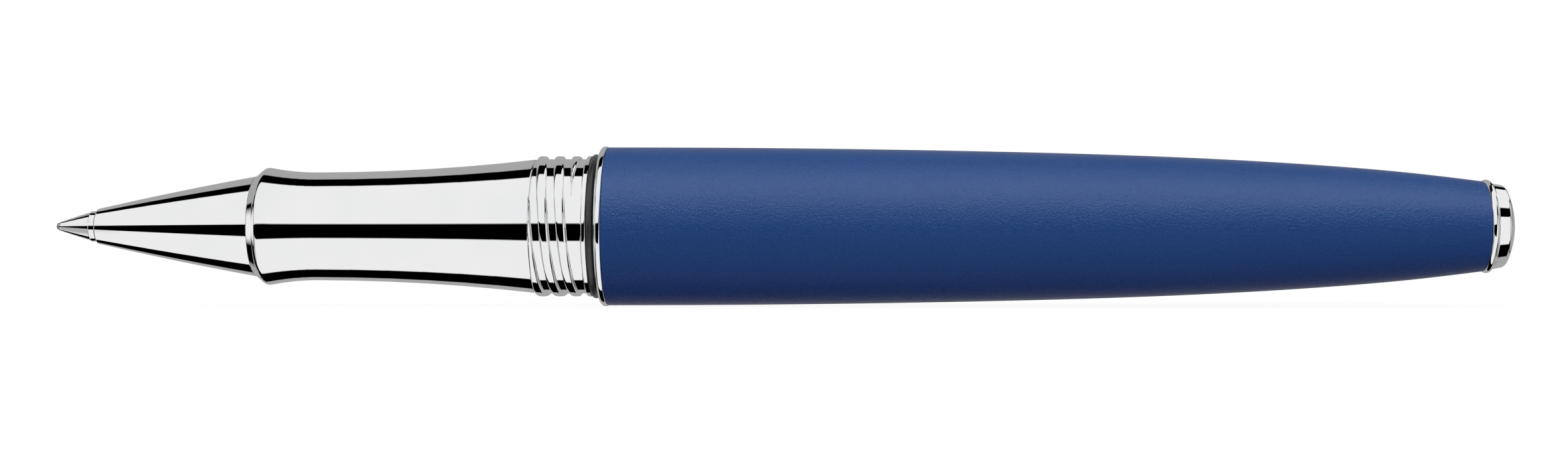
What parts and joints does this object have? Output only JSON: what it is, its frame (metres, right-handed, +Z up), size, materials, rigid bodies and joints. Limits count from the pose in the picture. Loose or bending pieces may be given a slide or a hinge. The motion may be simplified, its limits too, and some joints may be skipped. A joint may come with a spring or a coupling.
{
  "type": "rollerball pen",
  "caption": "Uncapped metal rollerball pen: chrome nose and waisted grip, cap thread, blue tapered barrel that unscrews from the sprung refill, chrome end button.",
  "frame": {"origin": "below the middle of the pen, on the level of the lowest point of the barrel front ring, the surface it lies on", "axes": "+X along the pen from the writing tip to the tail, +Z up, the pen axis parallel to X at z = 6.9 mm"},
  "size_m": [0.1256, 0.0138, 0.0138],
  "materials": {
    "chrome": "polished chrome plating on brass",
    "blue_lacquer": "satin blue lacquer with a fine leather-like grain",
    "black_rubber": "matt moulded rubber",
    "brass": "turned",
    "steel": "drawn",
    "point_steel": "fine turned stainless steel",
    "ball": "polished carbide",
    "black_plastic": "moulded",
    "white_plastic": "moulded",
    "ink_fibre": "bonded fibre soaked in ink"
  },
  "bodies": {
    "section": {"nose_cone": "chrome", "nose_guide_bush": "brass", "grip_sleeve": "chrome", "section_core": "brass", "cap_thread_ring": "chrome", "cap_seal_ring": "black_rubber"},
    "refill": {"point_tip": "point_steel", "tip_holder": "black_plastic", "capillary_rod": "ink_fibre", "refill_tube": "steel", "ink_reservoir": "ink_fibre", "refill_plug": "black_plastic"},
    "ball": {"writing_ball": "ball"},
    "spring": {"tail_spring": "steel"},
    "spring_seat": {"spring_washer": "steel"},
    "barrel": {"front_ring": "chrome", "thread_bush": "brass", "barrel_liner": "white_plastic", "barrel_shell": "blue_lacquer", "spring_holder": "white_plastic", "tail_screw": "steel", "end_ring": "chrome", "end_button": "chrome"}
  },
  "joints": [
    {"name": "refill_float", "type": "slide", "parent": "section", "child": "refill", "axis": [1, 0, 0], "range_m": [0, 0.0008], "stiffness_N_per_m": 400, "springref_m": -0.003, "deforming": ["tail_spring"]},
    {"name": "ball_roll", "type": "hinge", "parent": "refill", "child": "ball", "pos_m": [-0.0625, 0, 0.0069], "axis": [0, 1, 0], "continuous": true},
    {"name": "barrel_pull_off", "type": "slide", "parent": "section", "child": "spring", "axis": [1, 0, 0], "range_m": [0, 0.08]},
    {"name": "thread_travel", "type": "slide", "parent": "spring", "child": "spring_seat", "axis": [1, 0, 0], "range_m": [0, 0.0045], "deforming": ["tail_spring"]},
    {"name": "barrel_unscrew", "type": "hinge", "parent": "spring_seat", "child": "barrel", "pos_m": [-0.015, 0, 0.0069], "axis": [1, 0, 0], "range_deg": [0, 2160]}
  ],
  "couplings": [
    {"joint": "thread_travel", "follows": "barrel_unscrew", "m_per_rad": 0.00011937}
  ]
}
